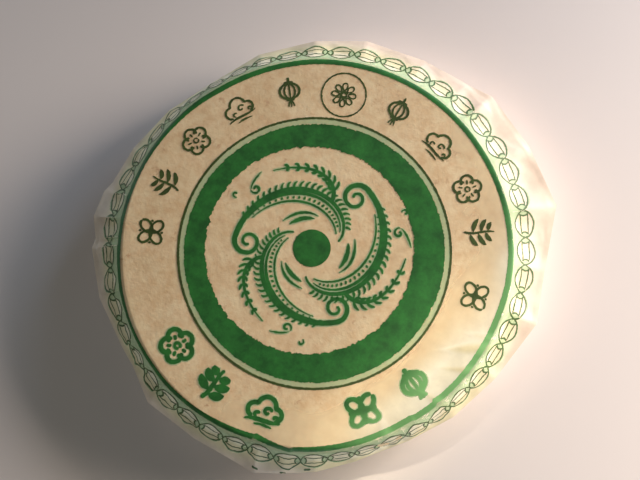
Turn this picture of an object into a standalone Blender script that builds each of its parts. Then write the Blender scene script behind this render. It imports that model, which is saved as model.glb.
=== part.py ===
"""A large flat round mooncake, sealed in a sheet of greaseproof film.

The film lies tight over the cake's crowned top, hugs its rounded shoulder and
then runs straight out to a faceted margin. There it is folded, and its slack
runs back under the cake to a flat round foot. Nothing opens or moves, so cake
and film are one closed solid.

Frame: metres, +Z up, resting on the plane Z = 0. +Y is the top of the printed
face. The solid's box is centred on the Z axis.
"""

import bmesh
import bpy
import numpy as np

MM = 0.001

# The cake under the film. The printed face is wrapped a little off the cake's middle,
# so the cake's side stands nearer to the print's axis on one side than on the other.
CAKE_RADIUS = 76.0 * MM
CAKE_SHIFT = 0.8 * MM
SHIFT_BEARING = 40.0  # degrees from +X
CAKE_HEIGHT = 23.0 * MM  # at the edge of the level top
WAIST = 12.0 * MM  # the height at which the cake is widest
SHOULDER_WIDTH = 4.0 * MM  # how far in from the side the level top ends
CROWN = 0.8 * MM  # how far the middle stands above that edge

# The film's foot under the cake.
FOOT_RADIUS = 64.0 * MM
TUCK_RADIUS = 73.0 * MM  # the turned-under film is drawn in towards this radius
TUCK_SHARE = 0.4  # and keeps this share of a corner's reach past it
TUCK_HEIGHT = 1.2 * MM

# The margin is a polygon of fold corners, anticlockwise from +X. Each is its angle
# in degrees, then its reach from the print's axis and its height, both in mm.
FOLD_CORNERS = (
    (6.0, 85.7, 16.0),
    (21.5, 92.0, 16.5),
    (37.0, 90.1, 16.5),
    (52.0, 89.8, 16.5),
    (58.5, 86.8, 16.0),
    (71.0, 85.4, 15.0),
    (87.0, 85.2, 14.0),
    (100.5, 83.4, 13.5),
    (116.0, 81.6, 12.5),
    (133.0, 78.6, 12.5),
    (145.5, 80.5, 12.0),
    (159.5, 82.3, 11.5),
    (170.0, 83.6, 11.0),
    (173.0, 85.6, 11.0),
    (180.0, 87.0, 11.0),
    (185.5, 84.8, 11.0),
    (188.0, 86.0, 11.0),
    (201.0, 84.0, 11.0),
    (215.5, 81.0, 11.0),
    (221.5, 80.6, 11.0),
    (231.5, 83.8, 11.0),
    (247.0, 82.1, 11.5),
    (257.0, 82.2, 12.0),
    (264.5, 84.2, 12.5),
    (272.0, 82.2, 12.5),
    (280.5, 80.7, 12.5),
    (291.5, 78.2, 12.0),
    (307.5, 77.4, 12.0),
    (320.5, 79.2, 12.5),
    (335.5, 81.2, 14.0),
    (352.5, 86.2, 15.5),
)
SAG_SHARE = 0.09  # a facet's middle is drawn in by this share of its reach past the cake

# How finely the faces are cut.
COLUMNS_PER_FACET = 4
TOP_RINGS = 5
SHOULDER_RINGS = 3
SPAN_RINGS = 5
TUCK_RINGS = 5

FILM_COLOUR = (0.78, 0.66, 0.48, 1.0)
FILM_ROUGHNESS = 0.4


def clear_scene():
    """Removes every object that the file holds."""
    for ob in list(bpy.data.objects):
        bpy.data.objects.remove(ob, do_unlink=True)


def margin():
    """The fold line round the margin, straight from corner to corner.

    Returns one row for each column of the mesh: x, y, height, and how far the
    column lies into its facet, from 0 at a corner's fold to 1 at mid-facet.
    """
    angle, reach, height = np.array(FOLD_CORNERS).T
    angle = np.radians(angle)
    corner = np.stack([reach * np.cos(angle), reach * np.sin(angle), height], axis=1) * MM
    after = np.roll(corner, -1, axis=0)
    share = np.arange(COLUMNS_PER_FACET) / COLUMNS_PER_FACET
    line = corner[:, None] + (after - corner)[:, None] * share[None, :, None]
    middle = np.broadcast_to(np.sin(np.pi * share), line.shape[:2])
    return np.concatenate([line, middle[..., None]], axis=2).reshape(-1, 4)


def cake_reach(bearing):
    """How far the cake's side stands from the print's axis in a direction, in radians."""
    return CAKE_RADIUS + CAKE_SHIFT * np.cos(bearing - np.radians(SHIFT_BEARING))


def shoulder(level, fold):
    """The film on the cake's shoulder, a quarter ellipse, down to where it leaves for the fold.

    It leaves along the tangent through the fold. With the ellipse scaled to a unit circle,
    that is at the fold's own angle plus the arc cosine of 1 / its distance.
    """
    rise = CAKE_HEIGHT - WAIST
    across, up = (fold[0] - level) / SHOULDER_WIDTH, (fold[1] - WAIST) / rise
    leave = np.arctan2(up, across) + np.arccos(1 / np.hypot(across, up))
    lean = np.pi / 2 + (leave - np.pi / 2) * np.arange(1, SHOULDER_RINGS + 1) / SHOULDER_RINGS
    return np.stack([level + SHOULDER_WIDTH * np.cos(lean), WAIST + rise * np.sin(lean)], axis=1)


def bend(start, pull, end, steps):
    """A quadratic curve from start to end, drawn towards pull: its points after start."""
    t = (np.arange(1, steps + 1) / steps)[:, None]
    return (1 - t) ** 2 * start + 2 * t * (1 - t) * pull + t**2 * end


def section(bearing, reach, height, middle):
    """Radius and height of one column's points, from the crown out and back to the foot."""
    level = cake_reach(bearing) - SHOULDER_WIDTH
    top_radii = level * np.arange(1, TOP_RINGS + 1) / TOP_RINGS
    crown = CROWN * (1 - (top_radii / level) ** 2)
    top = np.stack([top_radii, CAKE_HEIGHT + crown], axis=1)

    fold = np.array([reach, height])
    bent = shoulder(level, fold)
    out = np.arange(1, SPAN_RINGS + 1) / SPAN_RINGS
    span = bent[-1] + (fold - bent[-1]) * out[:, None]
    sag = SAG_SHARE * (reach - cake_reach(bearing)) * middle
    span[:, 1] -= sag * np.sin(np.pi * out)

    tuck_pull = np.array([TUCK_RADIUS + TUCK_SHARE * (reach - TUCK_RADIUS), TUCK_HEIGHT])
    tuck = bend(fold, tuck_pull, np.array([FOOT_RADIUS, 0.0]), TUCK_RINGS)
    tuck[:, 0] -= sag * np.sin(np.pi * np.arange(1, TUCK_RINGS + 1) / TUCK_RINGS)
    return np.concatenate([top, bent, span, tuck])


def wrapper_rings():
    """The solid's rings of points, from the crown to the foot: ring, column, xyz."""
    columns = []
    for x, y, height, middle in margin():
        reach = np.hypot(x, y)
        radius, z = section(np.arctan2(y, x), reach, height, middle).T
        columns.append(np.stack([radius * x / reach, radius * y / reach, z], axis=1))
    return np.stack(columns, axis=1)


def solid_of_rings(name, rings, crown_height):
    """One closed solid: a fan at the crown, bands between the rings, a flat foot."""
    bm = bmesh.new()
    crown = bm.verts.new((0.0, 0.0, crown_height))
    loops = [[bm.verts.new(point) for point in ring] for ring in rings]
    count = len(loops[0])
    for i in range(count):
        j = (i + 1) % count
        bm.faces.new((crown, loops[0][i], loops[0][j]))
        for inner, outer in zip(loops, loops[1:]):
            bm.faces.new((inner[i], outer[i], outer[j], inner[j]))
    bm.faces.new(reversed(loops[-1]))
    centre_box(bm)
    mesh = bpy.data.meshes.new(name)
    bm.to_mesh(mesh)
    bm.free()
    ob = bpy.data.objects.new(name, mesh)
    bpy.context.scene.collection.objects.link(ob)
    return ob


def centre_box(bm):
    """Moves the points sideways until their box is centred on the Z axis."""
    points = np.array([v.co for v in bm.verts])
    middle = (points.min(axis=0) + points.max(axis=0)) / 2
    bmesh.ops.translate(bm, verts=bm.verts, vec=(-middle[0], -middle[1], 0.0))


def film_material():
    """Greaseproof film over pale crust, as one satin cream finish."""
    material = bpy.data.materials.new("greaseproof_film")
    material.use_nodes = True
    shader = material.node_tree.nodes["Principled BSDF"]
    shader.inputs["Base Color"].default_value = FILM_COLOUR
    shader.inputs["Roughness"].default_value = FILM_ROUGHNESS
    shader.inputs["Metallic"].default_value = 0.0
    return material


clear_scene()
wrapped_mooncake = solid_of_rings("wrapped_mooncake", wrapper_rings(), CAKE_HEIGHT + CROWN)
wrapped_mooncake.data.shade_smooth()
wrapped_mooncake.data.set_sharp_from_angle(angle=np.radians(30))
wrapped_mooncake.data.materials.append(film_material())
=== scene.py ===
import bmesh
import bpy
import numpy as np
from mathutils import Matrix


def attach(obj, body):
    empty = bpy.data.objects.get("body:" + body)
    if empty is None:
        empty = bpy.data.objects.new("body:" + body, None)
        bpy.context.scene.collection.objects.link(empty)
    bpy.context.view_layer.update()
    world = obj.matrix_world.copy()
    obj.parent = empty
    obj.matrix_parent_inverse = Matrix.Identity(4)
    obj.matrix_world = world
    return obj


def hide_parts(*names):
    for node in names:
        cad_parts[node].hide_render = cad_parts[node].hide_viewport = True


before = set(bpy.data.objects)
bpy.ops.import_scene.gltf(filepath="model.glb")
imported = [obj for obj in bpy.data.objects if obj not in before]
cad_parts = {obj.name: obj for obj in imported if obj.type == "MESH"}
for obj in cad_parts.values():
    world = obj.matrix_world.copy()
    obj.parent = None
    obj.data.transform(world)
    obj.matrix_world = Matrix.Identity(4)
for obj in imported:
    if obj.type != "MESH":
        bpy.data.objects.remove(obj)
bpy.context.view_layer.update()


# ------------------------------------------------------------------ the cake
# A round of short pale pastry over sweet bean paste, pressed flat in a ring and
# baked until it just colours: level faces with a crowned middle, and a side that
# has swelled out and rounded in the oven.
MM = 0.001
TURN = 2 * np.pi

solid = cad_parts["wrapped_mooncake"]
solid_points = np.array([v.co for v in solid.data.vertices])
CROWN_POINT = solid_points[solid_points[:, 2].argmax()]
CAKE_AXIS = CROWN_POINT[:2]
FILM_TOP = CROWN_POINT[2]

CAKE_RADIUS = 76.0 * MM
CAKE_SHIFT = 0.8 * MM  # the cake's middle stands this far from the print's axis
SHIFT_BEARING = np.radians(40)
WAIST = 12.0 * MM  # the height at which the cake is widest
SHOULDER_WIDTH = 4.0 * MM  # how far in from the side the level top ends
UNDER_WIDTH = 13.0 * MM  # and the level foot
CROWN = 0.8 * MM
LEVEL_TOP = FILM_TOP - CROWN
FILM_GAP = 0.05 * MM  # the film's looseness over the crust
CAKE_FOOT = 0.6 * MM  # the folded film under it
CAKE_COLUMNS = 480
CRUST_DIP = 0.10 * MM  # the deepest hollows of the crust
CRUST_DIP_SPACING = 13.0 * MM
# The sizes of the crust's tan bloom, its mottling, its brown flecks and its grain.
TAN_SIZE, MOTTLE_SIZE, FLECK_SIZE, GRAIN_SIZE = 14.0 * MM, 3.5 * MM, 6.0 * MM, 1.2 * MM


def rolling(x, y, spacing, seed):
    """Smooth unevenness of about -1 to 1: sixteen plane waves in random directions, added up."""
    draw = np.random.default_rng(seed)
    heading, phase = draw.uniform(0, TURN, (2, 16))
    pitch = TURN / (spacing * draw.uniform(0.7, 1.5, 16))
    along = x[..., None] * np.cos(heading) + y[..., None] * np.sin(heading)
    return np.sin(along * pitch + phase).sum(axis=-1) / 4


def smooth_step(value, low, high):
    """0 below low, 1 above high, and 3t^2 - 2t^3 between."""
    t = np.clip((value - low) / (high - low), 0, 1)
    return t * t * (3 - 2 * t)


def cake_reach(bearing):
    """How far the cake's side stands from the print's axis in a direction, in radians."""
    return CAKE_RADIUS + CAKE_SHIFT * np.cos(bearing - SHIFT_BEARING)


def hollows(x, y):
    """How deep the crust lies below its smooth form, 0 to 1: broad dimples and finer ones on them."""
    broad = rolling(x, y, 2.2 * CRUST_DIP_SPACING, 3)
    return smooth_step(0.65 * broad + 0.35 * rolling(x, y, CRUST_DIP_SPACING, 4), -1.3, 2.0)


def cake_rings():
    """The cake's surface as rings of points, top to bottom.

    Level face: height = LEVEL_TOP + CROWN * (1 - (r / level radius)^2). Side: two quarter
    ellipses that meet at the waist, SHOULDER_WIDTH wide above it and UNDER_WIDTH below.
    Everything is drawn in by the film's gap, and the top by its hollows too.
    """
    angle = TURN * np.arange(CAKE_COLUMNS) / CAKE_COLUMNS
    reach = cake_reach(angle)
    share = (np.arange(1, 46) / 45)[:, None]
    quarter = (np.pi / 2 * np.arange(1, 25) / 24)[:, None]
    top = (reach - SHOULDER_WIDTH) * share
    upper = reach - SHOULDER_WIDTH * (1 - np.sin(quarter))
    lower = reach - UNDER_WIDTH * (1 - np.cos(quarter))
    foot = (reach - UNDER_WIDTH) * share[:-1][::-1]
    radius = np.concatenate([top, upper, lower, foot]) * (1 - FILM_GAP / CAKE_RADIUS)
    level = 0 * reach
    height = np.concatenate(
        [
            LEVEL_TOP + CROWN * (1 - share**2) + level,
            WAIST + (LEVEL_TOP - WAIST) * np.cos(quarter) + level,
            WAIST - (WAIST - CAKE_FOOT) * np.sin(quarter) + level,
            CAKE_FOOT + 0 * foot,
        ]
    )
    x, y = radius * np.cos(angle), radius * np.sin(angle)
    dip = (FILM_GAP + CRUST_DIP * hollows(x, y)) * smooth_step(height, CAKE_FOOT, LEVEL_TOP)
    return np.stack([CAKE_AXIS[0] + x, CAKE_AXIS[1] + y, height - dip], axis=-1)


def placed(name, mesh):
    """Links a mesh as a smooth-shaded object at the origin."""
    mesh.shade_smooth()
    ob = bpy.data.objects.new(name, mesh)
    bpy.context.scene.collection.objects.link(ob)
    return ob


def skin(name, rings, top_pole, foot_pole):
    """A closed mesh: bands between rings that close on themselves, and a fan at each pole."""
    rows, columns = rings.shape[:2]
    points = np.concatenate([rings.reshape(-1, 3), [top_pole, foot_pole]])
    here = np.arange(rows * columns).reshape(rows, columns)
    after = np.roll(here, -1, axis=1)
    bands = np.stack([here[:-1], here[1:], after[1:], after[:-1]], axis=-1).reshape(-1, 4)
    top = np.stack([np.full(columns, rows * columns), here[0], after[0]], axis=-1)
    foot = np.stack([np.full(columns, rows * columns + 1), after[-1], here[-1]], axis=-1)
    mesh = bpy.data.meshes.new(name)
    mesh.from_pydata(points.tolist(), [], bands.tolist() + top.tolist() + foot.tolist())
    return placed(name, mesh)


def colour(hex_code):
    """A linear RGBA colour from its sRGB hex code."""
    value = np.array([int(hex_code[i : i + 2], 16) for i in (1, 3, 5)]) / 255
    linear = np.where(value <= 0.04045, value / 12.92, ((value + 0.055) / 1.055) ** 2.4)
    return (*linear, 1.0)


def add(tree, kind, inputs=None, stops=(), **settings):
    """Adds a node: settings are its properties, inputs its sockets' values or the links into them.

    stops are a colour ramp's, each a place and a hex code.
    """
    made = tree.nodes.new(kind)
    for name, value in settings.items():
        setattr(made, name, value)
    for name, value in (inputs or {}).items():
        if isinstance(value, bpy.types.NodeSocket):
            tree.links.new(value, made.inputs[name])
        else:
            made.inputs[name].default_value = value
    if stops:
        elements = made.color_ramp.elements
        while len(elements) < len(stops):
            elements.new(0.5)
        for element, (place, hex_code) in zip(elements, stops):
            element.position = place
            element.color = colour(hex_code)
    return made


# Kinds of node that come up often, and the sockets of a Mix node that mixes colours.
NOISE, RAMP, RANGE, MIX = "ShaderNodeTexNoise", "ShaderNodeValToRGB", "ShaderNodeMapRange", "ShaderNodeMix"
PRINCIPLED = "ShaderNodeBsdfPrincipled"
FACTOR, FIRST, SECOND, MIXED = 0, 6, 7, 2


def new_material(name):
    """A material with an empty tree that ends in its output: (material, tree, output)."""
    material = bpy.data.materials.new(name)
    material.use_nodes = True
    tree = material.node_tree
    tree.nodes.clear()
    return material, tree, add(tree, "ShaderNodeOutputMaterial")


def baked_crust():
    """Short pastry, baked pale: matt and mealy, cream with tan bloom and a few brown flecks."""
    material, tree, output = new_material("baked_pale_crust")
    place = add(tree, "ShaderNodeTexCoord").outputs["Object"]
    tan = add(tree, NOISE, {"Vector": place, "Scale": 1 / TAN_SIZE, "Detail": 3.0, "Roughness": 0.6})
    mottle = add(tree, NOISE, {"Vector": place, "Scale": 1 / MOTTLE_SIZE, "Detail": 4.0, "Roughness": 0.65})
    fleck = add(tree, NOISE, {"Vector": place, "Scale": 1 / FLECK_SIZE, "Detail": 5.0, "Roughness": 0.75})
    grain = add(tree, NOISE, {"Vector": place, "Scale": 1 / GRAIN_SIZE, "Detail": 3.0})
    tans = ((0.30, "#D8B785"), (0.50, "#E8CDA1"), (0.72, "#F0DDB6"))
    baked = add(tree, RAMP, {"Fac": tan.outputs["Fac"]}, tans)
    patches = add(tree, RAMP, {"Fac": mottle.outputs["Fac"]}, ((0.35, "#DFBB96"), (0.62, "#F3E3BF")))
    flecks = add(tree, RAMP, {"Fac": fleck.outputs["Fac"]}, ((0.60, "#000000"), (0.74, "#FFFFFF")))
    blended = add(
        tree,
        MIX,
        {FACTOR: 0.45, FIRST: baked.outputs["Color"], SECOND: patches.outputs["Color"]},
        data_type="RGBA",
    )
    crust = add(
        tree,
        MIX,
        {FACTOR: flecks.outputs["Color"], FIRST: blended.outputs[MIXED], SECOND: colour("#BB8A61")},
        data_type="RGBA",
    )
    bump = add(
        tree, "ShaderNodeBump", {"Height": grain.outputs["Fac"], "Strength": 0.35, "Distance": 0.3 * MM}
    )
    shader = add(
        tree,
        PRINCIPLED,
        {"Base Color": crust.outputs[MIXED], "Roughness": 0.75, "Normal": bump.outputs["Normal"]},
    )
    tree.links.new(shader.outputs["BSDF"], output.inputs["Surface"])
    return material


cake = skin(
    "baked_cake",
    cake_rings(),
    (*CAKE_AXIS, FILM_TOP - FILM_GAP - CRUST_DIP * hollows(*np.zeros((2, 1)))[0]),
    (*CAKE_AXIS, CAKE_FOOT),
)
cake.data.materials.append(baked_crust())
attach(cake, "root")


# -------------------------------------------------------------- the wrapper
# One sheet of thin greaseproof film, milky where it stands clear and see-through
# where it lies on the crust. It is drawn down over the rim, folded sharply at a
# ring of corners, and its slack is gathered in pleats under the cake.
FOOT_RADIUS = 64.0 * MM
TUCK_RADIUS = 73.0 * MM
TUCK_SHARE = 0.4
TUCK_HEIGHT = 1.2 * MM
SAG_SHARE = 0.09

# The fold corners of the margin: angle in degrees, reach and height in mm.
FOLD_CORNERS = (
    (6.0, 85.7, 16.0),
    (21.5, 92.0, 16.5),
    (37.0, 90.1, 16.5),
    (52.0, 89.8, 16.5),
    (58.5, 86.8, 16.0),
    (71.0, 85.4, 15.0),
    (87.0, 85.2, 14.0),
    (100.5, 83.4, 13.5),
    (116.0, 81.6, 12.5),
    (133.0, 78.6, 12.5),
    (145.5, 80.5, 12.0),
    (159.5, 82.3, 11.5),
    (170.0, 83.6, 11.0),
    (173.0, 85.6, 11.0),
    (180.0, 87.0, 11.0),
    (185.5, 84.8, 11.0),
    (188.0, 86.0, 11.0),
    (201.0, 84.0, 11.0),
    (215.5, 81.0, 11.0),
    (221.5, 80.6, 11.0),
    (231.5, 83.8, 11.0),
    (247.0, 82.1, 11.5),
    (257.0, 82.2, 12.0),
    (264.5, 84.2, 12.5),
    (272.0, 82.2, 12.5),
    (280.5, 80.7, 12.5),
    (291.5, 78.2, 12.0),
    (307.5, 77.4, 12.0),
    (320.5, 79.2, 12.5),
    (335.5, 81.2, 14.0),
    (352.5, 86.2, 15.5),
)
# Wedges where the film is pulled up off the crust: the apex's bearing in degrees and reach
# in mm, then heading in degrees, length in mm, half angle in degrees and height in mm.
PULLED_FOLDS = (
    (329.0, 55.0, 12.0, 16.0, 9.0, 0.9),
    (325.0, 60.0, 6.0, 13.0, 8.0, 0.7),
    (316.0, 60.5, -20.0, 14.0, 12.0, 0.7),
    (303.0, 62.0, -62.0, 12.0, 16.0, 0.6),
    (341.0, 59.0, -4.0, 14.0, 10.0, 0.5),
    (311.0, 67.0, -49.0, 8.0, 12.0, 0.5),
    (318.8, 67.5, -40.0, 7.0, 12.0, 0.5),
    (262.6, 66.5, -97.0, 8.0, 12.0, 0.5),
    (274.2, 67.5, -86.0, 8.0, 11.0, 0.5),
    (252.0, 68.0, -109.0, 8.0, 12.0, 0.4),
    (180.5, 64.0, 183.0, 8.0, 9.0, 0.3),
)
# The soft ridge where the film lies loosest: bearing and half width in degrees, height, and
# the reaches in mm over which it rises and falls.
RIDGE_BEARING, RIDGE_HALF, RIDGE_HEIGHT = 328.0, 26.0, 0.45 * MM
RIDGE_RISE, RIDGE_FALL = (49, 60), (57, 73)
# Where the film lies loose on the crust and clouds, and where its tint and the ink on it are painted paler as
# painted light: a bearing and half width in degrees, the reach in mm from which it grows to full, and how
# loose it is there, in mm.
LOOSE_PATCHES = (
    (329.0, 24.0, 50.0, 67.0, 1.5),
    (300.0, 17.0, 54.0, 68.0, 0.8),
    (4.0, 20.0, 60.0, 72.0, 1.1),
    (268.0, 16.0, 56.0, 72.0, 0.35),
    (60.0, 20.0, 62.0, 74.0, 0.12),
)
COLUMN_SPAN = 0.7  # degrees of the margin that one column of the mesh covers
TOP_ROWS, SHOULDER_ROWS, SPAN_ROWS, TUCK_ROWS, FOOT_ROWS = 76, 14, 40, 20, 16

# Crumples: the facets' sizes and heights, and the faint roll of the film on the cake.
COARSE_SIZE, COARSE_CRUMPLE = 11.0 * MM, 0.45 * MM
FINE_SIZE, FINE_CRUMPLE = 4.5 * MM, 0.18 * MM
ROLL_SPACING, ROLL_HEIGHT = 17.0 * MM, 0.04 * MM
FOLD_SHARE = 0.2  # a pulled fold's crease, as a share of the looseness that it brings
CREASE_WIDTH = 2.5 * MM  # beside the margin's fold the facets run out
# The margin is pulled straighter round one bearing: that, half width in degrees, and by how much.
TAUT_BEARING, TAUT_HALF, TAUT_SHARE = 22.0, 48.0, 0.6
PLEATS, PLEAT_DEPTH = 48, 0.5 * MM
# Distances along the sheet from the crown, over which things begin or end.
MARGIN_START = (72 * MM, 82 * MM)  # the crumples of the margin
FOLDS_END = (76 * MM, 84 * MM)  # the pulled folds
PLEAT_START = (90 * MM, 106 * MM)
OFF_RIM, RIM_START = 2.0 * MM, (73 * MM, 76.5 * MM)  # the film stands this far off past the rim
OFF_FOLD, FOLD_START = 12.0 * MM, (88 * MM, 96 * MM)  # and this far past the fold

# How milky the film is, where it touches the crust, where it has just lifted and where it is clear.
HAZE_TOUCHING, HAZE_LIFTED, HAZE_CLEAR = 0.16, 0.44, 0.92
LIFTING, CLEARING = (0.05 * MM, 0.30 * MM), (0.3 * MM, 1.8 * MM)
# The film's tint over this span is partly painted light, bounced off the crust.
TINT_SPAN = (0.1 * MM, 8 * MM)  # its tint changes over this distance off the crust


def fold_line():
    """The margin's fold, straight from corner to corner.

    Returns x, y, height and place: 0 at a corner's crease, 1 in mid-facet, as sin(pi * share).
    """
    degrees, reach, height = np.array(FOLD_CORNERS).T
    spin = np.radians(degrees)
    corner = np.stack([reach * MM * np.cos(spin), reach * MM * np.sin(spin), height * MM], axis=1)
    after = np.roll(corner, -1, axis=0)
    spans = np.diff(np.append(degrees, degrees[0] + 360))
    columns = []
    for start, end, span in zip(corner, after, spans):
        count = max(4, round(span / COLUMN_SPAN))
        share = np.arange(count)[:, None] / count
        columns.append(np.hstack([start + (end - start) * share, np.sin(np.pi * share)]))
    return np.concatenate(columns).T


def bend(start, pull, end, rows):
    """A quadratic curve (1-t)^2 start + 2t(1-t) pull + t^2 end, for every column at once."""
    t = (np.arange(1, rows + 1) / rows)[:, None]
    return (1 - t) ** 2 * start + 2 * t * (1 - t) * pull + t**2 * end


def film_sections():
    """Radius and height of the smooth film, row by row from the crown to the foot's middle.

    It follows the cake's shoulder down to where the line to the fold touches it: with the
    shoulder's ellipse scaled to a unit circle, at the fold's own angle plus the arc cosine
    of 1 / its distance. From there it runs straight, and a facet's middle sags by SAG_SHARE
    of its reach past the cake. The tuck is a quadratic curve from the fold to the foot.
    """
    x, y, fold_height, middle = fold_line()
    bearing, reach = np.arctan2(y, x), np.hypot(x, y)
    level = cake_reach(bearing) - SHOULDER_WIDTH
    share = np.sqrt(np.arange(TOP_ROWS + 1) / TOP_ROWS)[:, None]
    face, face_height = level * share, LEVEL_TOP + CROWN * (1 - share**2) + 0 * level

    rise = LEVEL_TOP - WAIST
    across, up = (reach - level) / SHOULDER_WIDTH, (fold_height - WAIST) / rise
    leave = np.arctan2(up, across) + np.arccos(1 / np.hypot(across, up))
    lean = np.pi / 2 + (leave - np.pi / 2) * (np.arange(1, SHOULDER_ROWS + 1) / SHOULDER_ROWS)[:, None]
    bent, bent_height = level + SHOULDER_WIDTH * np.cos(lean), WAIST + rise * np.sin(lean)

    out = (np.arange(1, SPAN_ROWS + 1) / SPAN_ROWS)[:, None]
    sag = SAG_SHARE * (reach - cake_reach(bearing)) * middle
    span = bent[-1] + (reach - bent[-1]) * out
    span_height = bent_height[-1] + (fold_height - bent_height[-1]) * out - sag * np.sin(np.pi * out)

    tuck_belly = np.sin(np.pi * np.arange(1, TUCK_ROWS + 1) / TUCK_ROWS)[:, None]
    pull = TUCK_RADIUS + TUCK_SHARE * (reach - TUCK_RADIUS)
    tuck = bend(reach, pull, FOOT_RADIUS, TUCK_ROWS) - sag * tuck_belly
    tuck_height = bend(fold_height, TUCK_HEIGHT, 0.0, TUCK_ROWS)
    foot = FOOT_RADIUS * (1 - np.arange(1, FOOT_ROWS) / FOOT_ROWS)[:, None] + 0 * reach
    radius = np.concatenate([face, bent, span, tuck, foot])
    height = np.concatenate([face_height, bent_height, span_height, tuck_height, 0 * foot])
    return np.unwrap(bearing), radius, height


def facets(x, y, size, seed):
    """Crumpled sheet of about -1 to 1: random heights on a lattice of triangles, flat between them.

    The lattice is bent by rolling noise first, so that its creases run unevenly.
    """
    bent_x = (x + 0.45 * size * rolling(x, y, 3.1 * size, seed + 1)) / size
    bent_y = (y + 0.45 * size * rolling(x, y, 2.7 * size, seed + 2)) / size
    a, b = bent_x + bent_y / np.sqrt(3), 2 * bent_y / np.sqrt(3)
    whole_a, whole_b = np.floor(a).astype(int), np.floor(b).astype(int)
    part_a, part_b = a - whole_a, b - whole_b
    table = np.random.default_rng(seed).uniform(-1, 1, (64, 64))
    far = part_a + part_b > 1
    base = table[(whole_a + far) % 64, (whole_b + far) % 64]
    along = table[(whole_a + 1) % 64, whole_b % 64]
    aside = table[whole_a % 64, (whole_b + 1) % 64]
    step_a = np.where(far, 1 - part_b, part_a)
    step_b = np.where(far, 1 - part_a, part_b)
    return base + step_a * (along - base) + step_b * (aside - base)


def pulled_folds(z):
    """How far the film is pulled up off the crust at flat points z: wedges from an apex outwards.

    A wedge is a straight-sided tent: height * rise along it * (1 - |offset| / half width).
    """
    lift = np.zeros(z.shape)
    for bearing, reach, heading, length, half_angle, height in PULLED_FOLDS:
        spin = np.exp(-1j * np.radians(heading))
        place = (z / MM - reach * np.exp(1j * np.radians(bearing))) * spin
        side = np.abs(place.imag) / np.maximum(place.real * np.tan(np.radians(half_angle)), 0.01)
        wedge = smooth_step(place.real, 0, length) * np.clip(1 - side, 0, 1)
        lift = np.maximum(lift, height * MM * wedge)
    return lift


def ridge(z):
    """How high the film's soft ridge stands at flat points z.

    It is height * exp(-(bearing apart / half width)^2) * smooth step up * straight line down.
    """
    apart = np.degrees(np.angle(z * np.exp(-1j * np.radians(RIDGE_BEARING)))) / RIDGE_HALF
    reach = np.abs(z) / MM
    fall = 1 - np.interp(reach, RIDGE_FALL, (0, 1))
    return RIDGE_HEIGHT * np.exp(-(apart**2)) * smooth_step(reach, *RIDGE_RISE) * fall


def looseness(z):
    """How loosely the film lies at flat points z: the pulled folds, and the loose patches.

    A patch is height * exp(-(bearing apart / half width)^2) * smooth step outwards.
    """
    loose = pulled_folds(z)
    for bearing, half, start, full, height in LOOSE_PATCHES:
        apart = np.degrees(np.angle(z * np.exp(-1j * np.radians(bearing))))
        patch = np.exp(-((apart / half) ** 2)) * smooth_step(np.abs(z), start * MM, full * MM)
        loose = loose + height * MM * patch
    return loose


def film_rows():
    """Every row of the crumpled film as points, with its distance along the sheet from the crown.

    Crumples push points along the film's normal: facets of two sizes in the standing
    margin, less deep where it is taut, and pulled folds, the ridge and a faint roll where the
    film lies on the cake. Pleats are |sin| ripples round the axis that grow from the fold to
    the foot. All of it fades out at the fold, which stays straight.
    """
    angle, radius, height = film_sections()
    steps = np.hypot(np.diff(radius, axis=0), np.diff(height, axis=0))
    sheet = np.concatenate([np.zeros((1, len(angle))), np.cumsum(steps, axis=0)])
    points = np.stack(
        [CAKE_AXIS[0] + radius * np.cos(angle), CAKE_AXIS[1] + radius * np.sin(angle), height], axis=-1
    )
    outward = normals(points)
    u, v = sheet * np.cos(angle), sheet * np.sin(angle)
    loose = smooth_step(sheet, *MARGIN_START)
    off_taut = np.degrees(np.angle(np.exp(1j * (angle - np.radians(TAUT_BEARING))))) / TAUT_HALF
    coarse, fine = facets(u, v, COARSE_SIZE, 21), facets(u, v, FINE_SIZE, 34)
    crumple = (1 - TAUT_SHARE * np.exp(-(off_taut**2))) * (COARSE_CRUMPLE * coarse + FINE_CRUMPLE * fine)
    crumple = loose * crumple + (1 - loose) * ROLL_HEIGHT * rolling(u, v, ROLL_SPACING, 55)
    lifted = FOLD_SHARE * pulled_folds(u + 1j * v) + ridge(u + 1j * v)
    crumple += lifted * (1 - smooth_step(sheet, *FOLDS_END))
    gather = np.abs(np.sin(PLEATS / 2 * angle + 1.3 * rolling(u, v, 60 * MM, 71))) - 1
    crumple += PLEAT_DEPTH * gather * smooth_step(sheet, *PLEAT_START) * smooth_step(radius, 4 * MM, 30 * MM)
    fold_row = TOP_ROWS + SHOULDER_ROWS + SPAN_ROWS
    crumple *= smooth_step(np.abs(sheet - sheet[fold_row]), 0, CREASE_WIDTH)
    points = points + outward * crumple[..., None]
    points[..., 2] = np.clip(points[..., 2], 0, None)
    return angle, sheet, points


def stand_off(points):
    """How far points on the film stand off the crust, its hollows included.

    Over the level top that is straight down. Past it, it is along the line to the middle
    of the shoulder's ellipse: distance * (1 - 1 / distance in the ellipse's own scale).
    """
    x, y = points[..., 0] - CAKE_AXIS[0], points[..., 1] - CAKE_AXIS[1]
    reach = np.hypot(x, y)
    level = cake_reach(np.arctan2(y, x)) - SHOULDER_WIDTH
    past, above = reach - level, points[..., 2] - WAIST
    scaled = np.hypot(past / SHOULDER_WIDTH, above / (LEVEL_TOP - WAIST))
    side = np.hypot(past, above) * (1 - 1 / np.maximum(scaled, 1))
    crown = above + WAIST - LEVEL_TOP - CROWN * (1 - (reach / level) ** 2)
    return FILM_GAP + np.where(past > 0, side, crown) + CRUST_DIP * hollows(x, y)


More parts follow.
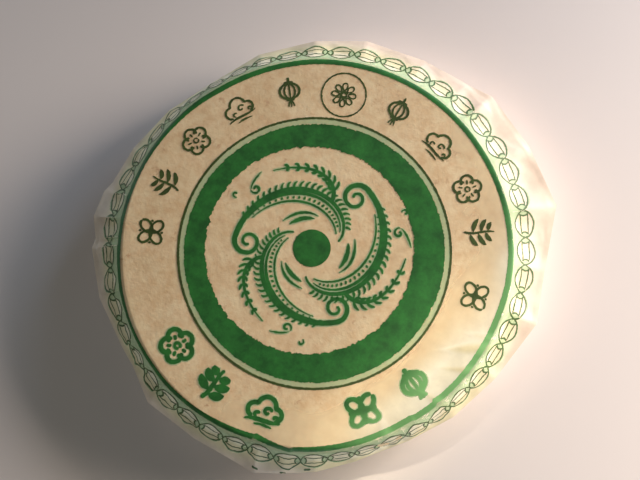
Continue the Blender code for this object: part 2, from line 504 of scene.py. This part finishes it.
def normals(points):
    """Unit normals of a grid whose columns close on themselves: across the rows times along them."""
    down = np.gradient(points, axis=0)
    around = np.roll(points, -1, axis=1) - np.roll(points, 1, axis=1)
    around[0] = around[1]
    normal = np.cross(down, around)
    length = np.linalg.norm(normal, axis=-1, keepdims=True)
    return normal / np.maximum(length, 1e-12)


CLOUD_SIZE, FIBRE_SIZE = 9.0 * MM, 0.9 * MM  # of the film's milkiness and of its paper grain


def greaseproof_film():
    """Glassine, which is paper beaten and rolled until it is thin, satin and milky.

    It lets what it lies on show, and clouds where it stands off it. Its tint follows how far it stands off,
    and is partly its own cream and partly painted light: warm tints for light bounced off the crust, and the
    brightest cream, where it has just lifted, for light caught in the loose film.
    """
    material, tree, output = new_material("greaseproof_film")
    place = add(tree, "ShaderNodeTexCoord").outputs["Object"]
    haze = add(tree, "ShaderNodeAttribute", attribute_name="haze").outputs["Fac"]
    clear = add(tree, "ShaderNodeAttribute", attribute_name="clear").outputs["Fac"]
    cloud = add(tree, NOISE, {"Vector": place, "Scale": 1 / CLOUD_SIZE, "Detail": 4.0})
    uneven = add(
        tree,
        RANGE,
        {"Value": cloud.outputs["Fac"], "From Min": 0.3, "From Max": 0.7, "To Min": 0.85, "To Max": 1.15},
    )
    veil = add(
        tree, "ShaderNodeMath", {0: haze, 1: uneven.outputs["Result"]}, operation="MULTIPLY", use_clamp=True
    )
    # Painted light in part: the ramp's warm tints stand in for light bounced off the crust, and its brightest
    # cream for light caught in the loose film.
    tint = add(
        tree,
        RAMP,
        {"Fac": clear},
        ((0.0, "#F9EBC4"), (0.10, "#FFFBE2"), (0.22, "#F0E6BC"), (0.5, "#E9DFB6"), (1.0, "#ECDAC6")),
    )
    fibre = add(tree, NOISE, {"Vector": place, "Scale": 1 / FIBRE_SIZE, "Detail": 2.0})
    bump = add(
        tree, "ShaderNodeBump", {"Height": fibre.outputs["Fac"], "Strength": 0.12, "Distance": 0.1 * MM}
    )
    shader = add(
        tree,
        PRINCIPLED,
        {
            "Base Color": tint.outputs["Color"],
            "Roughness": 0.42,
            "Alpha": veil.outputs["Value"],
            "Normal": bump.outputs["Normal"],
        },
    )
    tree.links.new(shader.outputs["BSDF"], output.inputs["Surface"])
    return material


film_angle, film_sheet, film_points = film_rows()
film_normals = normals(film_points)
film = skin("film_wrapper", film_points[1:], film_points[0, 0], (*CAKE_AXIS, 0.0))
off_crust = stand_off(film_points) + looseness(film_sheet * np.exp(1j * film_angle))
off_crust = np.maximum(off_crust, OFF_RIM * smooth_step(film_sheet, *RIM_START))
off_crust = np.maximum(off_crust, OFF_FOLD * smooth_step(film_sheet, *FOLD_START))
haze = HAZE_TOUCHING + (HAZE_LIFTED - HAZE_TOUCHING) * smooth_step(off_crust, *LIFTING)
haze += (HAZE_CLEAR - HAZE_LIFTED) * smooth_step(off_crust, *CLEARING)
# clear sets the film's tint, which is partly painted light; haze sets its milkiness.
for name, layer in (("haze", haze), ("clear", smooth_step(off_crust, *TINT_SPAN))):
    attribute = film.data.attributes.new(name, "FLOAT", "POINT")
    attribute.data.foreach_set("value", np.concatenate([layer[1:].ravel(), [layer[0, 0], layer[-1, 0]]]))
film.data.set_sharp_from_angle(angle=np.radians(45))
film.data.materials.append(greaseproof_film())
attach(film, "root")
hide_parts("wrapped_mooncake")


# ------------------------------------------------------ rings, band and chain
# Green ink, rolled on to the flat sheet before it was wrapped: a broad band with rough edges
# like a woodcut's, a fine circle round it, a thick ring round the rim, and a chain of oval
# links on the margin. All print is worked out flat, in mm, and laid along the film.
FINE_CIRCLE, FINE_LINE = 50.5, 0.9
RING_INNER, RING_OUTER = 71.5, 73.6
BAND_INNER, BAND_OUTER = 38.7, 48.3
CHAIN_REACH, CHAIN_HALF, CHAIN_LINE = 79.2, 3.8, 0.6
LINKS = 48
LINK_START = 2.9
CHAIN_BULGE = 0.62  # the lower, the blunter the ovals
CAP_PLACE, CAP_HALF, CAP_BOW = 3.75, 1.7, 0.75  # the curved line across each end of a link
BAR_OUT, BAR_SHIFT = 1.5, 0.35  # the two straight lines along it
INNER_ROUGH, OUTER_ROUGH = 0.40, 0.22  # the band's bristly edges
EDGE_MARKS = ((264.7, 87.0), (272.0, 85.6), (278.4, 84.2))  # dashes: bearing in degrees, reach

# Flat print is in complex numbers, with its top at +i.
INK_STEP = 0.45  # the print's grids are about this fine
INK_RAG, INK_RAG_SPACING = 0.06, 1.3  # how far, and how finely, the ink's edges wander
INK_LIFT = 0.035 * MM  # over the film
LAYER_GAP = 0.0015 * MM  # strokes that cross lie this far apart,
LAYERS = 9  # in so many layers
# Painted light: over this span of stand-off the ink's colour is painted paler, as if lit through the film.
GLOW_SPAN = (0.25 * MM, 2.5 * MM)  # the ink pales as the film stands this far off the crust
POOL_SIZE = 5.0 * MM  # of the patches where the ink pooled
UNEVEN, UNEVEN_LEFT = 0.12, 0.33  # how far creases shift the print, and how much more on the left
UNEVEN_SPACING, UNEVEN_SIDE, UNEVEN_START = 6.0, (0, 60), (74, 77)
# How far the sheet was drawn out over the rim, as bearing in degrees and mm: where it
# slipped, two bearings lie close together. It grows to full over DRAWN_START.
DRAWN_START = (65, 71)
DRAWN = (
    (0, -0.4), (10, 0.0), (40, 0.0), (70, 0.3), (100, 0.0), (120, -0.8), (130, -1.0), (140, -0.5), (160, 0.2),
    (175, 0.7), (190, 1.1), (210, 1.4), (220, 0.8), (230, 0.6), (240, 0.3), (250, -0.5), (262.2, -1.3),
    (263, -1.9), (273.5, 1.0), (275, 0.2), (290, -0.9), (300, -1.6), (310.4, -2.1), (311.6, -1.6),
    (318.4, -1.5), (319.2, -2.2), (322, -1.8), (330, -1.7), (340, -1.5), (350, -1.1),
)


def drawn(z):
    """Flat points with the rim's slips, outwards by DRAWN, and its creases' unevenness on the margin."""
    bearing, pull = np.array(DRAWN).T
    out = np.interp(np.degrees(np.angle(z)), bearing, pull, period=360)
    reach = np.abs(z)
    creased = UNEVEN + UNEVEN_LEFT * smooth_step(-z.real, *UNEVEN_SIDE)
    shove = rolling(z.real, z.imag, UNEVEN_SPACING, 91) + 1j * rolling(z.real, z.imag, UNEVEN_SPACING, 92)
    slipped = z * (1 + out * smooth_step(reach, *DRAWN_START) / np.maximum(reach, 1))
    return slipped + creased * smooth_step(reach, *UNEVEN_START) * shove


def on_film(z, lift):
    """Lays flat points on the film: bearing gives the column, distance along the sheet the row.

    Both are blended linearly between neighbours, and the point is lifted along the film's normal.
    """
    start = film_angle[0]
    edges = np.append(film_angle, start + TURN)
    bearing = (np.angle(z) - start) % TURN + start
    column = np.clip(np.searchsorted(edges, bearing, side="right") - 1, 0, len(film_angle) - 1)
    share = (bearing - edges[column]) / (edges[column + 1] - edges[column])
    distance = np.abs(z) * MM
    place = film_points + lift * film_normals
    spot = 0
    for side, weight in ((column, 1 - share), ((column + 1) % len(film_angle), share)):
        row = (film_sheet[:, side] <= distance).sum(axis=0) - 1
        part = (distance - film_sheet[row, side]) / (film_sheet[row + 1, side] - film_sheet[row, side])
        spot = spot + weight[:, None] * (
            place[row, side] * (1 - part[:, None]) + place[row + 1, side] * part[:, None]
        )
    return spot


def printed(name, grids, lift, material):
    """One mesh of many flat grids laid on the film, each a hair above the one before it.

    A ring's two ends fall on each other, and are merged.
    """
    points, faces, count = [], [], 0
    for layer, grid in enumerate(grids):
        here = count + np.arange(grid.size).reshape(grid.shape)
        squares = np.stack([here[:-1, :-1], here[1:, :-1], here[1:, 1:], here[:-1, 1:]], axis=-1)
        faces.append(squares.reshape(-1, 4))
        z = grid.ravel()
        rag = rolling(z.real, z.imag, INK_RAG_SPACING, 5) + 1j * rolling(z.real, z.imag, INK_RAG_SPACING, 6)
        points.append(on_film(drawn(z) + INK_RAG * rag, lift + LAYER_GAP * (layer % LAYERS)))
        count += grid.size
    mesh = bpy.data.meshes.new(name)
    mesh.from_pydata(np.concatenate(points).tolist(), [], np.concatenate(faces).tolist())
    seam = bmesh.new()
    seam.from_mesh(mesh)
    bmesh.ops.remove_doubles(seam, verts=seam.verts, dist=LAYER_GAP / 4)
    seam.to_mesh(mesh)
    seam.free()
    place = np.array([v.co for v in mesh.vertices])
    from_axis = place[:, 0] - CAKE_AXIS[0] + 1j * (place[:, 1] - CAKE_AXIS[1])
    # glow: how far the ink is painted paler, as painted light through the film from behind.
    glow = mesh.attributes.new("glow", "FLOAT", "POINT")
    glow.data.foreach_set("value", smooth_step(stand_off(place) + looseness(from_axis), *GLOW_SPAN))
    ob = placed(name, mesh)
    ob.data.materials.append(material)
    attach(ob, "root")
    return ob


def ink(name, dark, light, lit):
    """Flexo ink on film: a thin coat, a little uneven in depth where it pooled and dried.

    Where the film stands off the crust its colour is painted paler: painted light, for the light that comes
    through from behind.
    """
    material, tree, output = new_material(name)
    place = add(tree, "ShaderNodeTexCoord").outputs["Object"]
    pool = add(tree, NOISE, {"Vector": place, "Scale": 1 / POOL_SIZE, "Detail": 5.0, "Roughness": 0.7})
    tone = add(tree, RAMP, {"Fac": pool.outputs["Fac"]}, ((0.35, dark), (0.65, light)))
    glow = add(tree, "ShaderNodeAttribute", attribute_name="glow").outputs["Fac"]
    paled = add(
        tree, MIX, {FACTOR: glow, FIRST: tone.outputs["Color"], SECOND: colour(lit)}, data_type="RGBA"
    )
    shader = add(tree, PRINCIPLED, {"Base Color": paled.outputs[MIXED], "Roughness": 0.55})
    tree.links.new(shader.outputs["BSDF"], output.inputs["Surface"])
    return material


def unit(degrees):
    """The unit step in a direction."""
    return np.exp(1j * np.radians(degrees))


HOOP_TURN = np.linspace(0, TURN, 1201)


def hoop(inner, outer):
    """A closed ring as a grid, from its outer edge in: each edge is a radius, or one for each column."""
    lanes = int(np.ceil(np.max(np.asarray(outer) - inner) / INK_STEP / 1.5))
    share = np.linspace(0, 1, lanes + 1)
    radius = np.reshape(outer, (-1, 1)) * (1 - share) + np.reshape(inner, (-1, 1)) * share
    return radius * np.exp(1j * HOOP_TURN)[:, None]


def brush(path, width):
    """A stroke as a grid: even steps along the path, spread sideways to its width, ends rounded.

    width is one value, or a few that follow each other evenly along the stroke.
    """
    reach = np.concatenate([[0], np.cumsum(np.abs(np.diff(path)))])
    length = reach[-1]
    share = np.linspace(0, 1, int(np.ceil(length / INK_STEP)) + 2)
    path = np.interp(share * length, reach, path)
    spread = np.interp(share, np.linspace(0, 1, np.size(width)), np.atleast_1d(width))
    end = np.clip(np.minimum(share, 1 - share) * length / (spread / 2), 0, 1)
    spread = spread * np.sqrt(0.04 + 0.96 * (1 - (1 - end) ** 2))
    heading = np.gradient(path)
    heading = heading / np.abs(heading)
    lanes = int(np.ceil(spread.max() / INK_STEP / 1.5))
    side = np.linspace(-0.5, 0.5, lanes + 1)
    return path[:, None] + 1j * heading[:, None] * spread[:, None] * side


def blob(centre, along, across, turn=0.0):
    """A filled oval: a square grid whose nested squares are pushed out into ovals."""
    cells = 2 * int(np.ceil(max(along, across) / INK_STEP / 2))
    side = np.linspace(-1, 1, cells + 1)
    u, v = np.meshgrid(side, side, indexing="ij")
    swell = np.maximum(np.abs(u), np.abs(v)) / np.maximum(np.hypot(u, v), 1e-9)
    return centre + (along * u + 1j * across * v) * swell * np.exp(1j * turn)


def rough_edge(radius, centre, rough, seed):
    """A rough circle's reach at every column: of a circle round centre, plus bristles of three spacings.

    With centre c turned back by the column's angle, the reach is Re c + sqrt(radius^2 - (Im c)^2).
    """
    off = centre * np.exp(-1j * HOOP_TURN)
    x, y = radius * np.cos(HOOP_TURN), radius * np.sin(HOOP_TURN)
    bristle = 0.5 * rolling(x, y, 4.0, seed) + 0.4 * rolling(x, y, 1.5, seed + 1)
    bristle += 0.35 * rolling(x, y, 0.7, seed + 2)
    return off.real + np.sqrt(radius**2 - off.imag**2) + rough * bristle


def chain_wave(side):
    """One of the chain's two crossing lines: CHAIN_REACH +- half width * |cos|^CHAIN_BULGE, signed."""
    beat = np.cos(LINKS / 2 * (HOOP_TURN - np.radians(LINK_START)))
    swell = 1 + 0.06 * rolling(40 * np.cos(HOOP_TURN), 40 * np.sin(HOOP_TURN), 11.0, 8)
    reach = CHAIN_REACH + side * CHAIN_HALF * swell * np.sign(beat) * np.abs(beat) ** CHAIN_BULGE
    return reach * np.exp(1j * HOOP_TURN)


def in_link(link, s, q):
    """A point of a link, s along the chain and q outwards from its middle."""
    return (CHAIN_REACH + q) * unit(LINK_START + 360 * link / LINKS) * np.exp(1j * s / CHAIN_REACH)


PRINT_TURN = 10.5  # degrees that the print lies turned clockwise from upright, as it is viewed
BAND_SHIFT = complex(-1.7, 0.9) * unit(PRINT_TURN)  # the band's inner edge is this far off the axis
# Each ink's third colour is the painted light it pales to where the film stands off the crust.
bold = ink("bold_green_ink", "#1A5822", "#2A7930", "#88C67E")
fine = ink("fine_olive_green_ink", "#34441B", "#435A25", "#42602F")

band_inner = rough_edge(BAND_INNER, BAND_SHIFT, INNER_ROUGH, 11)
band = hoop(band_inner, rough_edge(BAND_OUTER, 0, OUTER_ROUGH, 14))
ring = hoop(RING_INNER, RING_OUTER)
printed("printed_band_and_ring", [band, ring], INK_LIFT, bold)

circle = hoop(FINE_CIRCLE - FINE_LINE / 2, FINE_CIRCLE + FINE_LINE / 2)
chain = [brush(chain_wave(1), CHAIN_LINE), brush(chain_wave(-1), CHAIN_LINE)]
cap_span = np.linspace(-1, 1, 15)
bar_span = np.linspace(-CAP_PLACE, CAP_PLACE, 15) + BAR_SHIFT
for link in range(LINKS):
    for end in (-1, 1):
        cap = in_link(link, end * (CAP_PLACE - CAP_BOW * np.cos(cap_span * np.pi / 2)), CAP_HALF * cap_span)
        bar = in_link(link, bar_span, BAR_OUT * end + 0 * bar_span)
        chain += [brush(cap, CHAIN_LINE), brush(bar, 0.85 * CHAIN_LINE)]
edge_marks = [
    brush(reach * unit(np.linspace(bearing - 0.9, bearing + 0.9, 9)), 1.1) for bearing, reach in EDGE_MARKS
]
printed("printed_circle_and_chain", [circle, *chain, *edge_marks], INK_LIFT, fine)


# ------------------------------------------------------------ whirl of vines
# The picture in the middle: a round moon with three arms of cloud vine whirling out
# of it, cut like a woodcut.
def sweep(*points):
    """A smooth path from the first point to the last, drawn towards those between: a Bezier curve."""
    t = np.linspace(0, 1, 61)
    level = [np.full(61, point, complex) for point in points]
    while len(level) > 1:
        level = [a * (1 - t) + b * t for a, b in zip(level, level[1:])]
    return level[0]


def curl(start, heading, radius, turns, tight=0.15):
    """A spiral that leaves start along heading (degrees) and winds inwards; turns < 0 winds clockwise.

    Its radius shrinks evenly from radius to tight * radius.
    """
    t = np.linspace(0, 1, 121)
    hand = np.sign(turns)
    centre = start + hand * radius * 1j * np.exp(1j * np.radians(heading))
    shrink = radius * (1 - (1 - tight) * t)
    return centre - hand * 1j * shrink * np.exp(1j * (np.radians(heading) + TURN * turns * t))


def moved(strokes, place, turn=0.0, size=1.0):
    """The strokes scaled, turned by an angle in degrees and moved: widths scale too."""
    spin = size * np.exp(1j * np.radians(turn))
    return [(place + spin * path, size * np.asarray(width)) for path, width in strokes]


def leaf(width):
    """The widths of a pointed leaf."""
    return tuple(width * np.array([0.12, 0.62, 0.92, 1.0, 0.92, 0.66, 0.1]))


def vine():
    """One arm of the whirl, from the moon's edge out to its end curl.

    Its spine is a spiral: reach 9.6 + 19.4 t^0.85 at bearing 150 t degrees. On its outer side
    runs a bold double line with teeth, on its inner side a fine line, with ribs between. A
    feathered leaf grows out of it, and pods and wisps fill the gaps to its neighbours.
    """
    t = np.linspace(0, 1, 241)
    spine = (9.6 + 19.4 * t**0.85) * unit(150 * t)
    ahead = np.gradient(spine) / np.abs(np.gradient(spine))
    swell = np.sin(np.pi * t**0.8)
    outer = spine - 1j * ahead * (0.4 + 1.7 * swell)
    tail = curl(outer[-1], np.degrees(np.angle(ahead[-1])), 5.2, 1.4)
    strokes = [
        (np.concatenate([outer, tail[2:]]), (0.7, 1.3, 1.7, 1.9, 2.0, 2.2, 2.1, 1.7, 1.3, 1.0)),
        ((spine - 1j * ahead * (-0.5 + 1.0 * swell))[20:215], (0.4, 1.0, 1.3, 1.0, 0.4)),
        ((spine + 1j * ahead * (0.6 + 2.2 * swell))[14:212], (0.5, 0.8, 0.9, 0.7, 0.4)),
        (sweep(12.6 * unit(60), 16.8 * unit(84), 15.6 * unit(117)), leaf(1.1)),
        (sweep(11.6 * unit(66), 13.4 * unit(88), 13.0 * unit(113)), leaf(1.7)),
    ]
    for k in range(34, 214, 9):
        middle = spine[k] + 1j * ahead[k] * (0.25 + 0.9 * swell[k])
        rib_end = middle + 0.75j * ahead[k] * swell[k] + 0.5 * ahead[k]
        strokes.append((sweep(middle - 0.55j * ahead[k] * swell[k], rib_end), 0.85))
    for k in range(30, 222, 8):
        root = outer[k] - 0.8j * ahead[k] * swell[k] ** 0.5
        size = 1.2 + 1.5 * swell[k]
        tooth = sweep(root, root - 0.7j * size * ahead[k], root + size * (-0.9j - 0.6) * ahead[k])
        strokes.append((tooth, (1.1, 0.9, 0.3)))
    rib = sweep(19.5 * unit(49), 28 * unit(49), 34 * unit(68), 33.5 * unit(97))
    along = np.gradient(rib) / np.abs(np.gradient(rib))
    strokes.append((rib, (1.7, 1.3, 0.9, 0.4)))
    for k in range(10, 58, 6):
        size = 5.6 - 0.055 * k
        for side, reach in ((1, 0.62), (-1, 0.85)):
            barb = size * reach * along[k]
            path = sweep(rib[k], rib[k] + 0.6 * barb * unit(62 * side), rib[k] + barb * unit(34 * side))
            strokes.append((path, leaf(1.15)))
    strokes += [
        (curl(32.5 * unit(116), 262, 1.9, 1.1), (0.5, 0.8, 1.0, 0.8)),
        (sweep(32.5 * unit(116), 34.5 * unit(112), 35.3 * unit(103)), leaf(0.8)),
        (curl(34.6 * unit(125), 190, 1.3, -0.9), (0.4, 0.8, 0.8)),
    ]
    return strokes


MOON, MOON_RADIUS = complex(-0.7, 1.2) * unit(PRINT_TURN), 7.0
whirl = []
for arm, size in enumerate((1.0, 0.96, 1.03)):
    whirl += moved(vine(), MOON * 0.5, 119 * arm + 30, size)
whirl_grids = [brush(path, width) for path, width in whirl]
printed("printed_whirl", [blob(MOON, MOON_RADIUS, MOON_RADIUS), *whirl_grids], INK_LIFT, bold)


# ----------------------------------------------------------------- ornaments
# Between circle and ring stand eleven small signs in fine strokes round the upper
# rim, with a rosette at its top, and five bold ones round the lower rim.
def arc(centre, radius, start, end):
    """Part of a circle, angles in degrees."""
    return centre + radius * np.exp(1j * np.radians(np.linspace(start, end, 49)))


def mirrored(strokes):
    """The strokes and their mirror images across the upright axis."""
    return strokes + [(-np.conj(path), width) for path, width in strokes]


def blossom(line):
    """Five open petals round a small ring, with a stamen in each."""
    bearings = range(90, 450, 72)
    petals = [(arc(3.05 * unit(a), 2.25, a - 125, a + 125), line) for a in bearings]
    stamens = [(sweep(1.8 * unit(a), 3.5 * unit(a)), 0.7 * line) for a in bearings]
    return petals + stamens + [(arc(0, 0.9, 0, 360), 0.7 * line)]


def sprig(line):
    """A bowed stem with pointed leaves on both sides."""
    strokes = [(sweep(-0.9 - 5.6j, 1.1 - 2j, -0.9 + 1.5j, 0.3 + 5.6j), (0.9 * line, line, 0.6 * line))]
    leaves = (
        (-3.4, 4.6, 1), (-2.2, 4.8, -1), (-0.4, 4.6, 1), (0.8, 4.3, -1), (2.4, 3.4, 1), (3.3, 3.0, -1),
    )
    for height, length, side in leaves:
        foot = 0.3 * side + 1j * height
        path = sweep(foot, foot + length * (0.7 * side + 0.1j), foot + length * (side + 0.55j))
        strokes.append((path, leaf(1.9 * line)))
    return strokes


def cloud(line):
    """A cloud of three rolled bumps over a long tail."""
    bumps = [arc(-3.1 - 0.4j, 2.2, 265, 75), arc(0.3 + 1.5j, 2.9, 175, 5), arc(3.6 - 0.5j, 2.0, 100, -85)]
    return [
        (np.concatenate(bumps), line),
        (sweep(-5.6 - 3.9j, -2.0 - 2.2j, 2.0 - 3.9j, 5.9 - 2.6j), (0.4 * line, line, line, 0.4 * line)),
        (sweep(-2.4 - 4.9j, 0.5 - 4.3j, 3.6 - 4.9j), (0.4 * line, 0.9 * line, 0.4 * line)),
        (curl(-1.2 - 1.3j, 120, 1.1, 0.8), 0.75 * line),
        (curl(2.4 + 0.2j, 105, 1.45, 1.0), 0.75 * line),
        (curl(4.7 - 1.6j, 90, 0.8, 0.8), 0.75 * line),
    ]


def knot(line):
    """An endless knot of four loops, with a bead in each."""
    turn = np.radians(np.linspace(0, 360, 181))
    loops = 2.5 * np.exp(1j * turn) + 3.0 * np.exp(-3j * turn)
    beads = [(sweep(3.6 * unit(a), 4.6 * unit(a)), 1.1 * line) for a in (0, 90, 180, 270)]
    return [(loops * unit(45), line)] + beads


def lantern(line):
    """A ribbed paper lantern with a cap, a foot and a tassel."""
    half = [
        (sweep(0 + 3.5j, 5.0 + 3.0j, 5.0 - 2.4j, 0 - 2.7j), line),
        (sweep(0.2 + 3.3j, 2.6 + 2.2j, 2.6 - 1.8j, 0.2 - 2.6j), 0.8 * line),
        (sweep(0.2 - 3.4j, 1.0 - 4.4j, 1.1 - 5.8j), (0.8 * line, 0.5 * line)),
    ]
    upright = [
        (sweep(3.6j, 5.9j), line),
        (sweep(-1.8 + 3.8j, 1.8 + 3.8j), line),
        (sweep(-1.6 - 3.0j, 1.6 - 3.0j), line),
        (sweep(3.2j, -3.0j), 0.8 * line),
        (sweep(-3.2j, -6.0j), (0.8 * line, 0.5 * line)),
    ]
    return mirrored(half) + upright


def rosette():
    """The round seal at the top: a circle round a flower of eight petals."""
    petal = sweep(1.6, 4.4 * unit(-34), 6.9, 4.4 * unit(34), 1.6)
    petals = [(petal * unit(a), 0.6) for a in range(0, 360, 45)]
    return petals + [(arc(0, 8.4, 0, 360), 0.55), (arc(0, 1.1, 0, 360), 1.1)]


UPPER_REACH, UPPER_LINE = 61.4, 0.9
LOWER_REACH, LOWER_LINE, LOWER_SIZE = 61.0, 1.5, 1.17
ROSETTE_REACH, ROSETTE_BEARING = 60.4, 89.7
# Each sign's bearing in degrees.
UPPER_SIGNS = (
    (183.0, knot), (165.0, sprig), (146.7, blossom), (128.1, cloud), (109.0, lantern),
    (69.5, lantern), (50.8, cloud), (32.3, blossom), (16.7, sprig), (-5.5, knot),
)
LOWER_SIGNS = ((225.0, blossom), (243.5, sprig), (263.5, cloud), (297.5, knot), (317.4, lantern))
upper = moved(rosette(), ROSETTE_REACH * unit(ROSETTE_BEARING))
for bearing, ornament in UPPER_SIGNS:
    upper += moved(ornament(UPPER_LINE), UPPER_REACH * unit(bearing), bearing - 90)
lower = []
for bearing, ornament in LOWER_SIGNS:
    lower += moved(ornament(LOWER_LINE), LOWER_REACH * unit(bearing), bearing + 90, LOWER_SIZE)
printed("printed_upper_signs", [brush(path, width) for path, width in upper], INK_LIFT, fine)
printed("printed_lower_signs", [brush(path, width) for path, width in lower], INK_LIFT, bold)


# ------------------------------------------------------------ the ink's bloom
# The thin mint stain that bled out of the wet ink: beside the band and the bold strokes,
# in the gaps between ring and chain, and in the small eyes where two links cross.
BLOOM_LIFT = 0.015 * MM  # over the film, under the ink
BLOOM_PATCH = 4.0 * MM  # of its unevenness
BLED = 0.8  # how much wider than a bold sign its stain is
WHIRL_BLED = 0.9
BAND_STAIN_END = FINE_CIRCLE - 0.3
CHAIN_STAIN = 0.7  # how far out it reaches past the chain
EYE_PLACE, EYE_ALONG, EYE_ACROSS = 4.0, 1.5, 0.75  # from a link's middle, and half sizes


def bloom_of_ink():
    """Ink so thin that the film shows through it, as pale mint."""
    material, tree, output = new_material("thin_mint_ink")
    place = add(tree, "ShaderNodeTexCoord").outputs["Object"]
    patch = add(tree, NOISE, {"Vector": place, "Scale": 1 / BLOOM_PATCH, "Detail": 3.0})
    veil = add(
        tree,
        RANGE,
        {"Value": patch.outputs["Fac"], "From Min": 0.3, "From Max": 0.7, "To Min": 0.44, "To Max": 0.60},
    )
    shader = add(
        tree,
        PRINCIPLED,
        {"Base Color": colour("#BCDDAE"), "Roughness": 0.5, "Alpha": veil.outputs["Result"]},
    )
    tree.links.new(shader.outputs["BSDF"], output.inputs["Surface"])
    return material


chain_beat = np.cos(LINKS / 2 * (HOOP_TURN - np.radians(LINK_START)))
chain_half = np.abs(chain_beat) ** CHAIN_BULGE * CHAIN_HALF
stain = [
    hoop(RING_OUTER, CHAIN_REACH - chain_half),
    hoop(CHAIN_REACH + chain_half, CHAIN_REACH + chain_half + CHAIN_STAIN),
    hoop(BAND_OUTER, BAND_STAIN_END),
]
for link in range(LINKS):
    for end in (-1, 1):
        along_chain = np.radians(LINK_START + 360 * link / LINKS)
        stain.append(blob(in_link(link, EYE_PLACE * end, 0), EYE_ALONG, EYE_ACROSS, along_chain))
stain += [brush(path, np.asarray(width) + WHIRL_BLED) for path, width in whirl]
stain += [brush(path, np.asarray(width) + BLED) for path, width in lower]
printed("print_bloom", stain, BLOOM_LIFT, bloom_of_ink())


# ---------------------------------------------------------------- the stage
# A pale table in a dim warm room. Two low window lights from the right rake across it, a
# small high lamp behind it catches the loose film, and weak lights fill the shadows.
TABLE_HALF = 1.5
table_corners = [(x * TABLE_HALF, y * TABLE_HALF, 0) for x, y in ((-1, -1), (1, -1), (1, 1), (-1, 1))]
table_mesh = bpy.data.meshes.new("table")
table_mesh.from_pydata(table_corners, [], [(0, 1, 2, 3)])
floor = placed("table", table_mesh)
floor.location.z = -0.0002  # a hair below the film's foot
# Matt painted board, so pale and even that it takes on the colour of the light.
table_material, table_tree, table_output = new_material("pale_table")
table_shader = add(table_tree, PRINCIPLED, {"Base Color": colour("#E6E0DE"), "Roughness": 0.7})
table_tree.links.new(table_shader.outputs["BSDF"], table_output.inputs["Surface"])
floor.data.materials.append(table_material)


def direction(azimuth, elevation):
    """The unit vector at these angles in degrees, azimuth from +X towards +Y."""
    turn, rise = np.radians(azimuth), np.radians(elevation)
    return np.array([np.cos(rise) * np.cos(turn), np.cos(rise) * np.sin(turn), np.sin(rise)])


def aim(ob, place, towards, up):
    """Puts a camera or light at place, looking along towards, with up at its top."""
    back = -towards / np.linalg.norm(towards)
    side = np.cross(up, back)
    side /= np.linalg.norm(side)
    turned = np.eye(4)
    turned[:3, :3] = np.stack([side, np.cross(back, side), back], axis=1)
    turned[:3, 3] = place
    ob.matrix_world = Matrix(turned.tolist())


def soft_light(name, azimuth, elevation, distance, size, aimed, spread, power, tint):
    """A light panel whose beam, spread degrees wide, points at aimed on the table.

    It stands at azimuth and elevation in degrees, distance metres away. Its size is width and height.
    """
    light = bpy.data.lights.new(name, "AREA")
    light.shape = "RECTANGLE"
    light.size, light.size_y = size
    light.spread = np.radians(spread)
    light.energy = power
    light.color = colour(tint)[:3]
    ob = bpy.data.objects.new(name, light)
    bpy.context.scene.collection.objects.link(ob)
    place = direction(azimuth, elevation) * distance
    aim(ob, place, np.array([*aimed, 0.0]) - place, np.array([0.0, 0.0, 1.0]))


soft_light("window", 22, 16, 0.74, (0.52, 0.28), (0.14, -0.23), 80, 3.46, "#FFEDDC")
soft_light("side_window", 55, 16, 0.80, (0.50, 0.28), (0.10, -0.10), 100, 1.25, "#C5DCFF")
soft_light("left_fill", 158, 9, 0.70, (0.60, 0.18), (0.0, 0.0), 140, 0.45, "#DFF2FF")
soft_light("front_fill", 290, 9, 0.70, (0.60, 0.18), (0.0, 0.0), 140, 0.70, "#DDF0FF")
soft_light("glint", 150, 65, 0.50, (0.090, 0.018), (0.052, -0.0460), 4.0, 0.0031, "#FFF0D2")

ROOM_STRENGTH = 0.088  # dim, so that the windows' side stays brighter
world = bpy.data.worlds.new("room")
world.use_nodes = True
room_light = world.node_tree.nodes["Background"]
room_light.inputs["Color"].default_value = colour("#FFF0D2")
room_light.inputs["Strength"].default_value = ROOM_STRENGTH
bpy.context.scene.world = world
bpy.context.scene.view_settings.view_transform = "Standard"

VIEW_DISTANCE = 0.48
VIEW_SPAN = 236.8 * MM  # width of the view at the cake's top
VIEW_BEARING, VIEW_ELEVATION = -69, 81.2  # in degrees, the bearing from the view's right
VIEW_RIGHT, VIEW_UP = 2.3 * MM, 4.3 * MM  # from the print's centre to the view's
SENSOR = 36  # mm
to_camera = direction(VIEW_BEARING + PRINT_TURN, VIEW_ELEVATION)
view_up = direction(90 + PRINT_TURN, 0)
camera_data = bpy.data.cameras.new("camera")
camera_data.sensor_width = SENSOR
camera_data.lens = SENSOR * VIEW_DISTANCE / VIEW_SPAN
camera_data.clip_start = 0.01
camera = bpy.data.objects.new("camera", camera_data)
bpy.context.scene.collection.objects.link(camera)
view_right = np.cross(-to_camera, view_up)
view_right /= np.linalg.norm(view_right)
framing = VIEW_RIGHT * view_right + VIEW_UP * np.cross(view_right, -to_camera)
print_centre = np.array([*CAKE_AXIS, LEVEL_TOP])
aim(camera, print_centre + framing + VIEW_DISTANCE * to_camera, -to_camera, view_up)
bpy.context.scene.camera = camera
